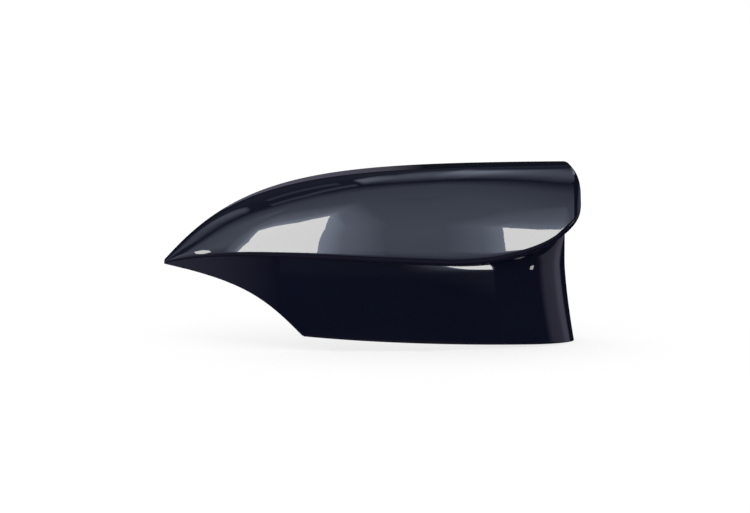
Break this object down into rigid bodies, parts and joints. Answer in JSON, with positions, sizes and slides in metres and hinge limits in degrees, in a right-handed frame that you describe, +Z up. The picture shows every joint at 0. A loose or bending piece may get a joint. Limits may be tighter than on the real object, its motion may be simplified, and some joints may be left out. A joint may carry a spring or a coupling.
{
  "type": "wing mirror cover",
  "caption": "Glossy blue-black wing mirror cover: a pointed, bulging shell with an overhanging rolled lip over a set-back lower wall, hollow behind with snap hooks and locating pins.",
  "frame": {"origin": "datum of the clips in the plane of the rear rim, level with the outboard tip and midway along the length", "axes": "+X from the pointed outboard tip to the inboard end, +Y rearwards out of the open side, +Z up"},
  "size_m": [0.2345, 0.063, 0.1012],
  "materials": {
    "paint": "deep blue-black high-gloss paint on moulded plastic"
  },
  "bodies": {
    "root": {"mirror_cover": "paint"}
  },
  "joints": []
}
